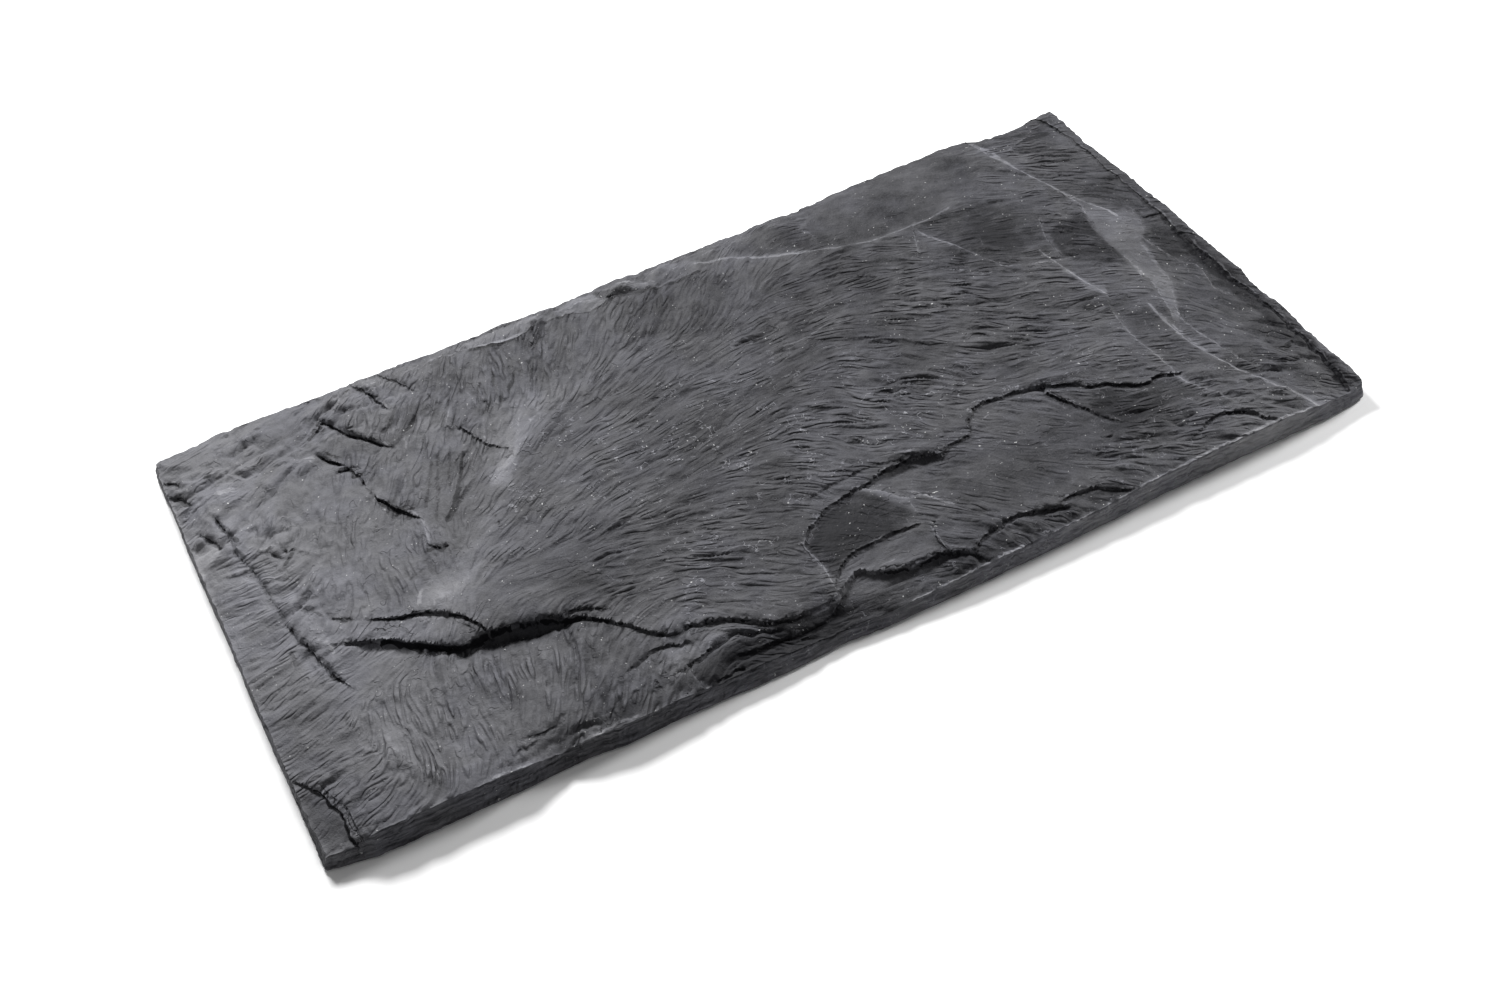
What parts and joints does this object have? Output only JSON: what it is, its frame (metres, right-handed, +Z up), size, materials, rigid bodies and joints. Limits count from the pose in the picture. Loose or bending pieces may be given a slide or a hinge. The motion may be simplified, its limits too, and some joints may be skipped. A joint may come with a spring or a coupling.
{
  "type": "slate slab",
  "caption": "Long rectangular slab of dark natural slate with a split, stepped and rippled upper face, hand-dressed broken edges and a flat underside to lie on.",
  "frame": {"origin": "middle of the slab's outline, on the flat underside that it lies on", "axes": "+X along the long side, +Y from the near long edge to the far one, +Z up out of the split face"},
  "size_m": [0.6, 0.3172, 0.0174],
  "materials": {
    "slate": "dull, split grain"
  },
  "bodies": {
    "root": {"slab": "slate"}
  },
  "joints": []
}
